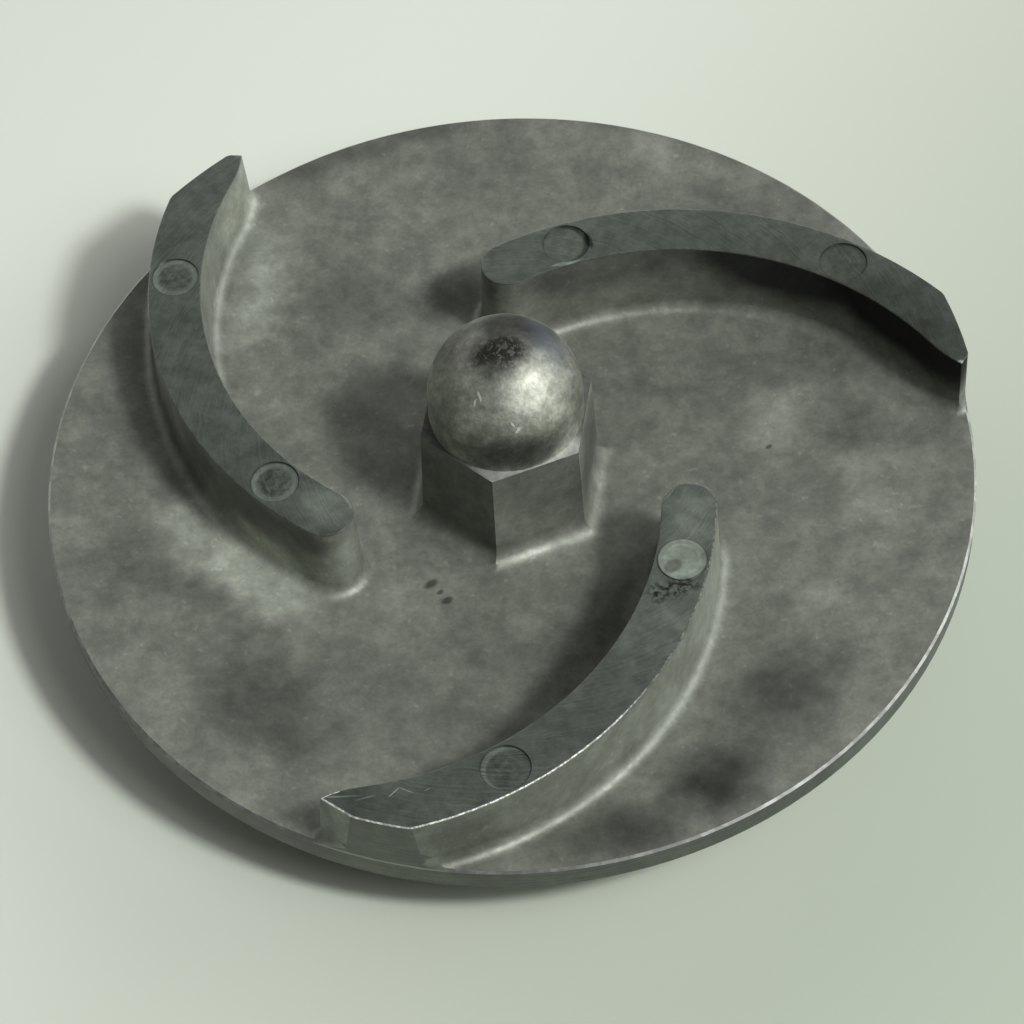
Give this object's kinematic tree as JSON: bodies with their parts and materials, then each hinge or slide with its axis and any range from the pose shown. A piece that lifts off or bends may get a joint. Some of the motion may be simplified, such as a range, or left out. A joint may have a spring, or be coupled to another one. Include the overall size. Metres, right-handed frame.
{
  "type": "pump impeller",
  "caption": "Semi-open cast aluminium impeller: curved blades on a dished disc, with a hexagonal hub, a domed end and a threaded hole behind.",
  "frame": {"origin": "centre of the rear boss's end face, on the shaft's axis", "axes": "+Z along the shaft's axis towards the domed end and the inlet; +X and +Y in the plane of the disc"},
  "size_m": [0.112, 0.112, 0.0366],
  "materials": {
    "cast_aluminium": "as cast, dull grey, with machined blade tops and rim"
  },
  "bodies": {
    "root": {"impeller": "cast_aluminium"}
  },
  "joints": []
}
